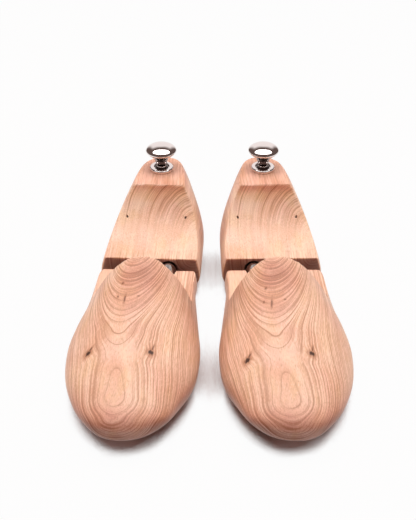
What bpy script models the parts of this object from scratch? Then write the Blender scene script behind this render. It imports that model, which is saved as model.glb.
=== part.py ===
"""A pair of spring shoe trees, toes towards -Y, on the floor at z = 0.

Each tree is a turned wooden last sawn in two. The heel block carries two steel
tubes that slide in bores of the forepart against coil springs, and a turned
knob on a rosette to pull it by. All sizes are in metres.
"""

import math

import bmesh
import bpy
from mathutils import Matrix, Vector

# Lengths along one tree, from the toe tip
TOE_TO_HUMP = 0.1275
SHELF_LENGTH = 0.0378
SLIDE_GAP = 0.0065
HEEL_LENGTH = 0.0997
SCOOP_LENGTH = 0.0476

# Heights above the floor
TOE_TIP_HEIGHT = 0.0205
HUMP_HEIGHT = 0.0663
SHELF_HEIGHT = 0.0284
HEEL_FLAT_HEIGHT = 0.0338
PLATEAU_HEIGHT = 0.0688
HEEL_BACK_HEIGHT = 0.027

# How the two trees stand: set down by hand, so each has its own splay
AXES_APART = 0.0878
LEFT_SPLAY_DEGREES = 2.6
RIGHT_SPLAY_DEGREES = 1.0

# Clearance between pieces, and the rounding of the sawn ends
SEAT_GAP = 0.0003
SOLE_EDGE_ROUND = 0.002
SHELF_CORNER_LENGTH = 0.009
SHELF_CORNER_DEPTH = 0.0032
HEEL_CORNER_LENGTH = 0.003
HEEL_CORNER_DEPTH = 0.0012
CORNER_SHARES = (0.0, 0.08, 0.3, 0.62, 1.0)
CORNER_CLEAR = 1.2

# Spring tubes and what is in them
TUBE_RADIUS = 0.006
TUBE_WALL = 0.0008
TUBE_SPACING = 0.0248
TUBE_BELOW_FLAT = 0.0092
TUBE_IN_HEEL = 0.0402
TUBE_IN_FOREPART = 0.022
TUBE_LIP = 0.001
BORE_SPARE = 0.001
MOUTH_RADIUS = 0.0072
MOUTH_DEPTH = 0.003
FLARE_RADIUS = 0.0078
FLARE_LENGTH = 0.0065
ROD_RADIUS = 0.0025
ROD_SEAT_DEPTH = 0.018
ROD_HEAD_LENGTH = 0.003
PLUG_LENGTH = 0.046
WIRE_RADIUS = 0.00055
SPRING_TURNS = 8

# Brads that lock the tubes in the heel block
BRAD_RADIUS = 0.00075
BRAD_SPACING = 0.0442
BRAD_OFFSET = 0.0012
BRAD_BEHIND_FACE = 0.0349
BRAD_SUNK = 0.0002

# Knob, rosette and stud
KNOB_OFFSET = 0.0026
KNOB_BEFORE_BACK = 0.0279
ROSETTE_RADIUS = 0.009
ROSETTE_HEIGHT = 0.0023
ROSETTE_FLOOR = 0.0009
RIM_TOP_INSET = 0.0014
RIM_TOP_WIDTH = 0.0009
RIM_SHOULDER = 0.0005
RIM_FALL = 0.0015
RIM_DISH = 0.0003
KNOB_RADIUS = 0.0118
KNOB_HEIGHT = 0.0213
DOME_HEIGHT = 0.005
UNDERSIDE_DEPTH = 0.0122
NECK_RADIUS = 0.0036
FOOT_RADIUS = 0.0051
FOOT_EDGE = 0.0008
FOOT_COVE_HEIGHT = 0.002
FOOT_COVE_WIDTH = 0.0004
STUD_RADIUS = 0.0022
STUD_IN_WOOD = 0.022
STUD_IN_KNOB = 0.009
STUD_TIP_SHARE = 0.3

# The cap of the knob, in shares of its radius and of its height above or below the rim
CAP_ABOVE_RIM = ((0.34, 0.94), (0.63, 0.76), (0.85, 0.47), (0.97, 0.18))
CAP_BELOW_RIM = ((0.97, 0.09), (0.87, 0.17), (0.65, 0.35), (0.46, 0.59), (0.35, 0.82))

# How far cutters reach past the wood
CUT_PAST = 0.03
CUT_ASIDE = 0.06

# Finer or coarser faces
RING_QUARTER = 7
RINGS_PER_SPAN = 2
RINGS_NEAR_TIP = 4
TURN_STEPS = 28
BORE_STEPS = 24
ROD_STEPS = 12
PIN_STEPS = 8
WIRE_STEPS = 8
SCOOP_STEPS = 12

# Places worked out from the sizes above
SHELF_END = TOE_TO_HUMP + SHELF_LENGTH
HEEL_FACE = SHELF_END + SLIDE_GAP
HEEL_BACK = HEEL_FACE + HEEL_LENGTH
TUBE_HEIGHT = HEEL_FLAT_HEIGHT - TUBE_BELOW_FLAT
TRAVEL = SLIDE_GAP - SEAT_GAP
BORE_RADIUS = TUBE_RADIUS + SEAT_GAP
TUBE_FRONT = TOE_TO_HUMP - TUBE_IN_FOREPART
TUBE_BACK = HEEL_FACE + TUBE_IN_HEEL
BORE_BOTTOM = TUBE_FRONT - TRAVEL - BORE_SPARE
TUBE_INSIDE = TUBE_RADIUS - TUBE_WALL
HEAD_RADIUS = TUBE_INSIDE - SEAT_GAP
HEAD_FRONT = TUBE_FRONT + TUBE_LIP + SEAT_GAP
HEAD_BACK = HEAD_FRONT + ROD_HEAD_LENGTH
PLUG_BACK = TUBE_BACK
PLUG_FRONT = PLUG_BACK - PLUG_LENGTH
ROSETTE_BASE = PLATEAU_HEIGHT + SEAT_GAP
KNOB_BASE = ROSETTE_BASE + ROSETTE_FLOOR + SEAT_GAP
KNOB_PLACE = HEEL_BACK - KNOB_BEFORE_BACK
ALONG = (-math.pi / 2, 0, 0)

# Sections of the last, toe to heel. Columns: place, medial and lateral reach from the
# tree's axis, ridge, sole, widest level, top, and how full each side is above the
# widest level (1 an ellipse, 0 a parabola). Places are shares of the forepart as far
# as the hump, and then of the heel block.
FOREPART_SECTIONS = (
    (0.031, 0.0163, 0.0102, -0.0050, 0.0163, 0.0205, 0.0260, 1.00, 1.00),
    (0.118, 0.0269, 0.0217, -0.0045, 0.0118, 0.0200, 0.0320, 0.95, 0.95),
    (0.251, 0.0367, 0.0298, -0.0046, 0.0048, 0.0185, 0.0365, 0.85, 0.85),
    (0.431, 0.0447, 0.0385, -0.0045, 0.0014, 0.0175, 0.0410, 0.65, 0.75),
    (0.643, 0.0475, 0.0406, -0.0035, -0.0004, 0.0180, 0.0465, 0.40, 0.55),
    (0.824, 0.0453, 0.0383, -0.0015, 0.0005, 0.0190, 0.0550, 0.20, 0.35),
)
HUMP_SECTION = (0.0418, 0.0358, 0.0, 0.0020, 0.0190, HUMP_HEIGHT, 0.0, 0.15)
WAIST_SECTION = (0.0395, 0.0338, 0.0, 0.0030, 0.0180, 0.0700, 0.30, 0.50)
HEEL_SECTIONS = (
    (0.000, 0.0378, 0.0358, 0.0005, 0.0025, 0.0200, 0.0072, 0.38, 0.46),
    (0.282, 0.0355, 0.0363, 0.0018, 0.0008, 0.0220, 0.0122, 0.36, 0.40),
    (0.533, 0.0303, 0.0357, 0.0030, -0.0005, 0.0240, 0.0132, 0.64, 0.54),
    (0.744, 0.0258, 0.0301, 0.0035, 0.0, 0.0250, 0.0132, 0.67, 0.67),
    (0.875, 0.0205, 0.0255, 0.0040, 0.0025, 0.0260, 0.0072, 0.66, 0.70),
    (0.965, 0.0100, 0.0175, 0.0040, 0.0090, 0.0270, -0.0138, 0.90, 0.90),
)
WAIST_PLACE = 0.6
SOLE_ROUND = 2.6
TOE_TIP_OFFSET = -0.0036
HEEL_BACK_OFFSET = 0.004


def sections():
    """Every section of the last as a list of numbers, the place in metres first."""
    tip, back = TOE_TIP_OFFSET, HEEL_BACK_OFFSET
    toe, rear = TOE_TIP_HEIGHT, HEEL_BACK_HEIGHT
    rows = [(0.0, -tip, tip, tip, toe, toe, toe, 1.0, 1.0)]
    rows += [(share * TOE_TO_HUMP, *rest) for share, *rest in FOREPART_SECTIONS]
    rows.append((TOE_TO_HUMP, *HUMP_SECTION))
    rows.append((TOE_TO_HUMP + WAIST_PLACE * SHELF_LENGTH, *WAIST_SECTION))
    for share, medial, lateral, ridge, sole, widest, above, full_m, full_l in HEEL_SECTIONS:
        place = HEEL_FACE + share * HEEL_LENGTH
        top = PLATEAU_HEIGHT + above
        rows.append((place, medial, lateral, ridge, sole, widest, top, full_m, full_l))
    rows.append((HEEL_BACK, -back, back, back, rear, rear, rear, 1.0, 1.0))
    first, last = rows[0], rows[-1]
    before = tuple(2 * a - b for a, b in zip(first, rows[1]))
    after = tuple(2 * a - b for a, b in zip(last, rows[-2]))
    return [(rows[1][0], *before[1:]), *rows, (rows[-2][0], *after[1:])]


def section_at(rows, along):
    """A smooth section between two given ones, where along counts sections."""
    i = min(int(along), len(rows) - 4)
    t = along - i
    return tuple(
        0.5 * (2 * b + (c - a) * t + (2 * a - 5 * b + 4 * c - d) * t**2
               + (3 * b - a - 3 * c + d) * t**3)
        for a, b, c, d in zip(rows[i], rows[i + 1], rows[i + 2], rows[i + 3])
    )


def find_place(rows, place):
    """The count of sections at which the last reaches a place along its length."""
    low, high = 0.0, float(len(rows) - 3)
    for _ in range(40):
        middle = (low + high) / 2
        if section_at(rows, middle)[0] < place:
            low = middle
        else:
            high = middle
    return low


def ring_points(section, hand, corner=0.0, edge=0.0):
    """One closed outline of the last, counted round from the ridge down the outer side."""
    place, medial, lateral, ridge, sole, widest, top, full_m, full_l = section
    sole = min(sole + edge, widest)
    outer = max(lateral - ridge - corner, 0.0)
    inner = max(medial + ridge - corner, 0.0)
    power = 2 / SOLE_ROUND
    points = []
    for step in range(4 * RING_QUARTER):
        turn = step / RING_QUARTER * math.pi / 2
        across, up = math.sin(turn), math.cos(turn)
        full = full_l if across > 0 else full_m
        if up > 0:
            z = widest + (top - widest) * up * (full + (1 - full) * up)
        else:
            z = widest - (widest - sole) * abs(up) ** power
            across = math.copysign(abs(across) ** power, across)
        x = ridge + across * (outer if across > 0 else inner)
        points.append(Vector((hand * x, place, z)))
    return points


def corner_rings(rows, end, inward, length, depth, hand):
    """Rings that round a sawn end's upright corners and the edge of its sole."""
    rings = []
    for share in CORNER_SHARES:
        section = section_at(rows, find_place(rows, end + inward * share * length))
        corner = depth * (1 - math.sqrt(1 - (1 - share) ** 2))
        near = max(1 - share * length / SOLE_EDGE_ROUND, 0.0)
        edge = SOLE_EDGE_ROUND * (1 - math.sqrt(1 - near**2))
        rings.append(ring_points(section, hand, corner, edge))
    return rings


def last_mesh(name, start, end, hand):
    """The last between two places: lofted rings, closed by a tip or a sawn face."""
    rows = sections()
    spans = len(rows) - 3
    front, back = [], []
    low, high = start, end
    if start > 0:
        front = corner_rings(rows, start, 1, HEEL_CORNER_LENGTH, HEEL_CORNER_DEPTH, hand)
        low = start + HEEL_CORNER_LENGTH * CORNER_CLEAR
    if end < HEEL_BACK:
        back = corner_rings(rows, end, -1, SHELF_CORNER_LENGTH, SHELF_CORNER_DEPTH, hand)[::-1]
        high = end - SHELF_CORNER_LENGTH * CORNER_CLEAR
    middle = []
    for span in range(spans):
        near_tip = span < 2 or span > spans - 3
        count = RINGS_NEAR_TIP if near_tip else RINGS_PER_SPAN
        for i in range(count):
            section = section_at(rows, span + i / count)
            if low < section[0] < high:
                middle.append(ring_points(section, hand))
    mesh = bpy.data.meshes.new(name)
    bm = bmesh.new()
    loops = [[bm.verts.new(p) for p in ring] for ring in front + middle + back]
    around = len(loops[0])
    for near, far in zip(loops, loops[1:]):
        for i in range(around):
            j = (i + 1) % around
            bm.faces.new((near[i], near[j], far[j], far[i]))
    for sawn, loop, tip in ((front, loops[0], rows[1]), (back, loops[-1], rows[-2])):
        if sawn:
            bm.faces.new(loop)
            continue
        pole = bm.verts.new((hand * tip[3], tip[0], tip[5]))
        for i in range(around):
            bm.faces.new((loop[i], loop[(i + 1) % around], pole))
    bmesh.ops.recalc_face_normals(bm, faces=bm.faces)
    bm.to_mesh(mesh)
    bm.free()
    return mesh


def material(name, colour, roughness, metallic=0.0):
    """A Principled material for one sub-part."""
    made = bpy.data.materials.new(name)
    made.use_nodes = True
    shader = made.node_tree.nodes["Principled BSDF"]
    shader.inputs["Base Color"].default_value = (*colour, 1.0)
    shader.inputs["Roughness"].default_value = roughness
    shader.inputs["Metallic"].default_value = metallic
    return made


def wood(name):
    return material(name, (0.66, 0.38, 0.22), 0.45)


def dowel_wood(name):
    return material(name, (0.72, 0.55, 0.36), 0.55)


def tube_steel(name):
    return material(name, (0.58, 0.57, 0.56), 0.3, 1.0)


def spring_steel(name):
    return material(name, (0.35, 0.35, 0.37), 0.35, 1.0)


def dark_steel(name):
    return material(name, (0.12, 0.1, 0.09), 0.5, 0.9)


def nickel(name):
    return material(name, (0.82, 0.8, 0.77), 0.08, 1.0)


def put(name, data, finish, parent, location=(0, 0, 0), rotation=(0, 0, 0)):
    """One named piece, placed under its parent, with its own material."""
    piece = bpy.data.objects.new(name, data)
    PARTS.objects.link(piece)
    piece.parent = parent
    piece.location = location
    piece.rotation_euler = rotation
    if finish:
        data.materials.append(finish(name))
    if isinstance(data, bpy.types.Mesh):
        data.shade_smooth()
        data.set_sharp_from_angle(angle=math.radians(35))
    return piece


def put_cutter(name, mesh, parent, location=(0, 0, 0), rotation=(0, 0, 0)):
    """A shape that only cuts: drawn as wire and never rendered."""
    cutter = bpy.data.objects.new(name, mesh)
    CUTTERS.objects.link(cutter)
    cutter.parent = parent
    cutter.location = location
    cutter.rotation_euler = rotation
    cutter.hide_render = True
    cutter.display_type = "WIRE"
    return cutter


def cut(piece, cutter):
    """Takes the cutter's shape out of the piece."""
    boolean = piece.modifiers.new(cutter.name, "BOOLEAN")
    boolean.operation = "DIFFERENCE"
    boolean.solver = "EXACT"
    boolean.object = cutter


def box_mesh(name, low, high):
    """A box between two corners."""
    mesh = bpy.data.meshes.new(name)
    bm = bmesh.new()
    bmesh.ops.create_cube(bm, size=1.0)
    size = Vector(high) - Vector(low)
    middle = (Vector(high) + Vector(low)) / 2
    bmesh.ops.scale(bm, vec=size, verts=bm.verts)
    bmesh.ops.translate(bm, vec=middle, verts=bm.verts)
    bm.to_mesh(mesh)
    bm.free()
    return mesh


def turn(piece, steps):
    """Revolves a profile about the piece's own Z axis."""
    screw = piece.modifiers.new("turned", "SCREW")
    screw.axis = "Z"
    screw.angle = math.tau
    screw.steps = steps
    screw.render_steps = steps
    screw.use_merge_vertices = True
    screw.merge_threshold = 0.00001


def profile_mesh(name, points, closed=False):
    """A turned piece's outline at +X, from the top down its outer side."""
    mesh = bpy.data.meshes.new(name)
    count = len(points)
    edges = [(i, i + 1) for i in range(count - 1)]
    if closed:
        edges.append((count - 1, 0))
    mesh.from_pydata([(r, 0, z) for r, z in points], edges, [])
    return mesh


def drill(name, parent, spot, outline, steps, turned=(0, 0, 0)):
    """A turned cutter, given like a turned piece's outline."""
    made = put_cutter(name, profile_mesh(name, outline), parent, spot, turned)
    turn(made, steps)
    return made


def scoop_height(place):
    """Height of the heel block's hollow top at a place along the tree."""
    run, rise = SCOOP_LENGTH, PLATEAU_HEIGHT - HEEL_FLAT_HEIGHT
    radius = (run**2 + rise**2) / (2 * rise)
    return HEEL_FLAT_HEIGHT + radius - math.sqrt(radius**2 - (place - HEEL_FACE) ** 2)


def scoop_mesh(name):
    """What is sawn and hollowed off above the heel block, as an extruded outline."""
    run, rise = SCOOP_LENGTH, PLATEAU_HEIGHT - HEEL_FLAT_HEIGHT
    radius = (run**2 + rise**2) / (2 * rise)
    sweep = math.asin(run / radius)
    outline = [(HEEL_FACE - CUT_PAST, HEEL_FLAT_HEIGHT)]
    for i in range(SCOOP_STEPS + 1):
        angle = sweep * i / SCOOP_STEPS
        outline.append((HEEL_FACE + radius * math.sin(angle),
                        HEEL_FLAT_HEIGHT + radius * (1 - math.cos(angle))))
    behind, above = HEEL_BACK + CUT_PAST, PLATEAU_HEIGHT + CUT_PAST
    outline += [(behind, PLATEAU_HEIGHT), (behind, above), (HEEL_FACE - CUT_PAST, above)]
    mesh = bpy.data.meshes.new(name)
    bm = bmesh.new()
    face = bm.faces.new([bm.verts.new((-CUT_ASIDE, y, z)) for y, z in outline])
    grown = bmesh.ops.extrude_face_region(bm, geom=[face])
    moved = [v for v in grown["geom"] if isinstance(v, bmesh.types.BMVert)]
    bmesh.ops.translate(bm, vec=(2 * CUT_ASIDE, 0, 0), verts=moved)
    bmesh.ops.recalc_face_normals(bm, faces=bm.faces)
    bm.to_mesh(mesh)
    bm.free()
    return mesh


def make_forepart(label, tree, hand):
    """Toe, instep hump and shelf in one piece, bored for the tubes."""
    name = f"{label}_forepart"
    piece = put(name, last_mesh(name, 0.0, SHELF_END, hand), wood, tree)
    side, above = CUT_ASIDE, HUMP_HEIGHT + CUT_PAST
    step = box_mesh("above_shelf", (-side, TOE_TO_HUMP, SHELF_HEIGHT), (side, HEEL_FACE, above))
    cut(piece, put_cutter(f"{label}_above_shelf", step, tree))
    floor = box_mesh("below_sole", (-side, -CUT_PAST, -CUT_PAST), (side, HEEL_FACE, 0.0))
    cut(piece, put_cutter(f"{label}_below_sole", floor, tree))
    start = BORE_BOTTOM - ROD_SEAT_DEPTH
    seat = ROD_RADIUS + SEAT_GAP
    outline = [(0.0, HEEL_FACE - start), (FLARE_RADIUS, HEEL_FACE - start),
               (FLARE_RADIUS, SHELF_END - start), (BORE_RADIUS, SHELF_END - FLARE_LENGTH - start),
               (BORE_RADIUS, ROD_SEAT_DEPTH), (seat, ROD_SEAT_DEPTH), (seat, 0.0), (0.0, 0.0)]
    for word, x in tube_places(hand):
        spot = (x, start, TUBE_HEIGHT)
        cut(piece, drill(f"{label}_{word}_bore", tree, spot, outline, BORE_STEPS, ALONG))


def make_heel_block(label, heel, hand):
    """Heel half with its hollow top, plateau, tube holes, brad holes and stud hole."""
    name = f"{label}_heel_block"
    back = -heel.location
    piece = put(name, last_mesh(name, HEEL_FACE, HEEL_BACK, hand), wood, heel, back)
    side, behind = CUT_ASIDE, HEEL_BACK + CUT_PAST
    cut(piece, put_cutter(f"{label}_scoop", scoop_mesh("scoop"), heel, back))
    floor = box_mesh("below_heel", (-side, SHELF_END, -CUT_PAST), (side, behind, 0.0))
    cut(piece, put_cutter(f"{label}_below_heel", floor, heel, back))
    start = HEEL_FACE - BORE_SPARE
    deep = TUBE_BACK + SEAT_GAP - start
    mouth = BORE_SPARE + MOUTH_DEPTH
    outline = [(0.0, deep), (BORE_RADIUS, deep), (BORE_RADIUS, mouth), (MOUTH_RADIUS, mouth),
               (MOUTH_RADIUS, 0.0), (0.0, 0.0)]
    for word, x in tube_places(hand):
        spot = back + Vector((x, start, TUBE_HEIGHT))
        cut(piece, drill(f"{label}_{word}_hole", heel, spot, outline, BORE_STEPS, ALONG))
    for word, head, tip in brad_lines(hand):
        outline = pin_profile(BRAD_RADIUS + SEAT_GAP, (tip - head).length + 2 * BORE_SPARE)
        spot = back + tip + (tip - head).normalized() * BORE_SPARE
        name = f"{label}_{word}_brad_hole"
        cut(piece, drill(name, heel, spot, outline, PIN_STEPS, aim(tip, head)))
    outline = pin_profile(STUD_RADIUS + SEAT_GAP, STUD_IN_WOOD + SEAT_GAP + BORE_SPARE)
    low = PLATEAU_HEIGHT - STUD_IN_WOOD - SEAT_GAP
    spot = back + Vector((hand * KNOB_OFFSET, KNOB_PLACE, low))
    cut(piece, drill(f"{label}_stud_hole", heel, spot, outline, ROD_STEPS))


def aim(low, high):
    """The turn that stands a pin's own Z axis from its low end to its high end."""
    return (high - low).to_track_quat("Z", "Y").to_euler()


def tube_places(hand):
    """The two tubes' names and distances from the tree's axis."""
    half = TUBE_SPACING / 2
    return (("medial", -hand * half), ("lateral", hand * half))


def brad_lines(hand):
    """Each brad's head and tip: down through the hollow, leaning in to its tube."""
    lines = []
    for word, side in (("medial", -1), ("lateral", 1)):
        place = HEEL_FACE + BRAD_BEHIND_FACE
        head = Vector((hand * (BRAD_OFFSET + side * BRAD_SPACING / 2), place, scoop_height(place)))
        axis = Vector((hand * side * TUBE_SPACING / 2, place, TUBE_HEIGHT))
        down = (axis - head).normalized()
        reach = (axis - head).length - TUBE_RADIUS - SEAT_GAP
        lines.append((word, head, head + down * reach))
    return lines


def pin_profile(radius, length):
    """A plain round pin standing on its own Z axis."""
    return [(0.0, length), (radius, length), (radius, 0.0), (0.0, 0.0)]


def make_tubes(label, tree, heel, hand):
    """Each tube with its plug and brad in the heel, its rod and spring in the forepart."""
    back = -heel.location
    length = TUBE_BACK - TUBE_FRONT
    lip_hole = ROD_RADIUS + SEAT_GAP
    shell = [(TUBE_RADIUS, length), (TUBE_RADIUS, TUBE_LIP / 2), (TUBE_RADIUS - TUBE_LIP / 2, 0.0),
             (lip_hole, 0.0), (lip_hole, TUBE_LIP), (TUBE_INSIDE, TUBE_LIP), (TUBE_INSIDE, length)]
    rod_start = BORE_BOTTOM - ROD_SEAT_DEPTH + SEAT_GAP
    rod = [(0.0, HEAD_BACK - rod_start), (HEAD_RADIUS, HEAD_BACK - rod_start),
           (HEAD_RADIUS, HEAD_FRONT - rod_start), (ROD_RADIUS, HEAD_FRONT - rod_start),
           (ROD_RADIUS, 0.0), (0.0, 0.0)]
    for word, x in tube_places(hand):
        axis = Vector((x, 0, TUBE_HEIGHT))
        name = f"{label}_{word}_tube"
        spot = back + axis + Vector((0, TUBE_FRONT, 0))
        tube = put(name, profile_mesh(name, shell, True), tube_steel, heel, spot, ALONG)
        turn(tube, BORE_STEPS)
        name = f"{label}_{word}_tube_plug"
        spot = back + axis + Vector((0, PLUG_FRONT, 0))
        outline = pin_profile(HEAD_RADIUS, PLUG_LENGTH)
        plug = put(name, profile_mesh(name, outline), dowel_wood, heel, spot, ALONG)
        turn(plug, BORE_STEPS)
        name = f"{label}_{word}_guide_rod"
        spot = axis + Vector((0, rod_start, 0))
        guide = put(name, profile_mesh(name, rod), dark_steel, tree, spot, ALONG)
        turn(guide, ROD_STEPS)
        name = f"{label}_{word}_spring"
        put(name, spring_curve(name), None, tree, axis + Vector((0, HEAD_BACK, 0)), ALONG)
    for word, head, tip in brad_lines(hand):
        name = f"{label}_{word}_brad"
        start = head + (tip - head).normalized() * BRAD_SUNK
        outline = pin_profile(BRAD_RADIUS, (tip - start).length)
        nail = put(name, profile_mesh(name, outline), dark_steel, heel, back + tip, aim(tip, head))
        turn(nail, PIN_STEPS)


def spring_curve(name):
    """An open compression spring between the rod's head and the plug."""
    low = SEAT_GAP + WIRE_RADIUS
    high = PLUG_FRONT - HEAD_BACK - SEAT_GAP - WIRE_RADIUS
    radius = HEAD_RADIUS - WIRE_RADIUS
    count = SPRING_TURNS * WIRE_STEPS
    curve = bpy.data.curves.new(name, "CURVE")
    curve.dimensions = "3D"
    curve.bevel_depth = WIRE_RADIUS
    curve.bevel_resolution = 1
    curve.use_fill_caps = True
    spline = curve.splines.new("POLY")
    spline.points.add(count)
    for i, point in enumerate(spline.points):
        angle = math.tau * i / WIRE_STEPS
        rise = low + (high - low) * i / count
        point.co = (radius * math.cos(angle), radius * math.sin(angle), rise, 1)
    curve.materials.append(spring_steel(name))
    return curve


def make_knob(label, heel, hand):
    """The pull knob, the rosette it stands in and the stud that holds it."""
    back = -heel.location
    spot = Vector((hand * KNOB_OFFSET, KNOB_PLACE, 0))
    name = f"{label}_knob_rosette"
    hole = STUD_RADIUS + SEAT_GAP
    wide, high = ROSETTE_RADIUS, ROSETTE_HEIGHT
    crest = wide - RIM_TOP_INSET
    ring = [(crest - RIM_TOP_WIDTH, high - RIM_DISH), (crest, high),
            (crest + RIM_TOP_WIDTH, high - RIM_SHOULDER), (wide, high - RIM_FALL), (wide, 0.0),
            (hole, 0.0), (hole, ROSETTE_FLOOR), (FOOT_RADIUS + SEAT_GAP, ROSETTE_FLOOR)]
    rosette = put(name, profile_mesh(name, ring, True), nickel, heel,
                  back + spot + Vector((0, 0, ROSETTE_BASE)))
    turn(rosette, TURN_STEPS)
    name = f"{label}_knob"
    top = KNOB_HEIGHT - (KNOB_BASE - PLATEAU_HEIGHT)
    rim = top - DOME_HEIGHT
    outline = [(0.0, top)]
    outline += [(KNOB_RADIUS * out, rim + DOME_HEIGHT * up) for out, up in CAP_ABOVE_RIM]
    outline.append((KNOB_RADIUS, rim))
    outline += [(KNOB_RADIUS * out, rim - UNDERSIDE_DEPTH * down) for out, down in CAP_BELOW_RIM]
    outline += [(NECK_RADIUS, rim - UNDERSIDE_DEPTH),
                (NECK_RADIUS + FOOT_COVE_WIDTH, FOOT_COVE_HEIGHT), (FOOT_RADIUS, FOOT_EDGE),
                (FOOT_RADIUS, 0.0), (hole, 0.0), (hole, STUD_IN_KNOB + SEAT_GAP),
                (0.0, STUD_IN_KNOB + SEAT_GAP)]
    knob = put(name, profile_mesh(name, outline), nickel, heel,
               back + spot + Vector((0, 0, KNOB_BASE)))
    turn(knob, TURN_STEPS)
    name = f"{label}_knob_stud"
    low = PLATEAU_HEIGHT - STUD_IN_WOOD
    long = KNOB_BASE + STUD_IN_KNOB - low
    tip = STUD_RADIUS * STUD_TIP_SHARE
    screw = [(0.0, long), (STUD_RADIUS, long), (STUD_RADIUS, 2 * STUD_RADIUS), (tip, 0.0), (0.0, 0.0)]
    stud = put(name, profile_mesh(name, screw), dark_steel, heel, back + spot + Vector((0, 0, low)))
    turn(stud, ROD_STEPS)


def tree_turn(hand):
    """The turn that gives a tree its splay, toes outwards."""
    splay = LEFT_SPLAY_DEGREES if hand > 0 else RIGHT_SPLAY_DEGREES
    return -hand * math.radians(splay)


def middle_of_pair():
    """The middle of the pair's outline on the floor, from both trees' sections."""
    rows = sections()
    spots = []
    for hand in (1, -1):
        spin = Matrix.Rotation(tree_turn(hand), 4, "Z")
        aside = Vector((-hand * AXES_APART / 2, 0, 0))
        for n in range((len(rows) - 3) * RINGS_PER_SPAN + 1):
            for point in ring_points(section_at(rows, n / RINGS_PER_SPAN), hand):
                spots.append(aside + spin @ (point - Vector((0, HEEL_FACE, 0))))
    across, along = [p.x for p in spots], [p.y for p in spots]
    return Vector(((min(across) + max(across)) / 2, (min(along) + max(along)) / 2, 0))


def make_tree(label, hand):
    """One tree: hand is 1 for the left foot's, whose outer side faces +X."""
    tree = bpy.data.objects.new(f"{label}_tree", None)
    PARTS.objects.link(tree)
    tree.rotation_euler = (0, 0, tree_turn(hand))
    spin = Matrix.Rotation(tree_turn(hand), 4, "Z")
    aside = Vector((-hand * AXES_APART / 2, 0, 0))
    tree.location = aside - spin @ Vector((0, HEEL_FACE, 0)) - middle_of_pair()
    heel = bpy.data.objects.new(f"{label}_heel_slide", None)
    PARTS.objects.link(heel)
    heel.parent = tree
    heel.location = (0, HEEL_FACE, TUBE_HEIGHT)
    make_forepart(label, tree, hand)
    make_heel_block(label, heel, hand)
    make_tubes(label, tree, heel, hand)
    make_knob(label, heel, hand)


def new_collection(name):
    made = bpy.data.collections.new(name)
    bpy.context.scene.collection.children.link(made)
    return made


for old in list(bpy.data.objects):
    bpy.data.objects.remove(old, do_unlink=True)

PARTS = new_collection("shoe_trees")
CUTTERS = new_collection("shoe_tree_cutters")
make_tree("left", 1)
make_tree("right", -1)
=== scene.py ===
import math

import bmesh
import bpy
from mathutils import Matrix, Vector


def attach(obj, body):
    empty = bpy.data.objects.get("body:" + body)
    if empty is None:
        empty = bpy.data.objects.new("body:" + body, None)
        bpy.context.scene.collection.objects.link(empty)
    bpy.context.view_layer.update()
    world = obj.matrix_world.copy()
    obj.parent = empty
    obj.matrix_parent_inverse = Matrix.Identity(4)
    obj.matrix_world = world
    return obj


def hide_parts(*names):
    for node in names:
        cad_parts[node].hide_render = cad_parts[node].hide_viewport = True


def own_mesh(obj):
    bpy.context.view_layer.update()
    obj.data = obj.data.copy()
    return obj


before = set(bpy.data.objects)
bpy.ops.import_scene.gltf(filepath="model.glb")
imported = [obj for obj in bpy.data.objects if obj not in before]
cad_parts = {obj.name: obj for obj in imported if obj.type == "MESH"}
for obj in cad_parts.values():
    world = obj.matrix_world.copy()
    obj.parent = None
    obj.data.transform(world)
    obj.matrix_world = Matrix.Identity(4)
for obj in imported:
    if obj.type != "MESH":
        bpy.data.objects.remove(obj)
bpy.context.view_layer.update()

# In front of the toes and above them, as in the photograph
cameraSettings = {
    "place": (-0.00107, -0.54205, 0.423),
    "downTilt": 34.05,      # degrees below the horizon
    "lens": 66.0,
    "clipStart": 0.01,
}

# Where each tree stands, and where the board's figure falls on it
treeSettings = {
    "left": {"place": (-0.0504607, -0.1355751, 0.0), "turn": -2.6, "hand": 1,
             "figurePlace": (-0.050461, -0.135575, 0.0), "figureTurn": -4.15, "figureLift": 0.0},
    "right": {"place": (0.0481309, -0.1357258, 0.0), "turn": 1.0, "hand": -1,
              "figurePlace": (0.05748, -0.13786, 0.0), "figureTurn": 2.54, "figureLift": 0.7},
}

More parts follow.
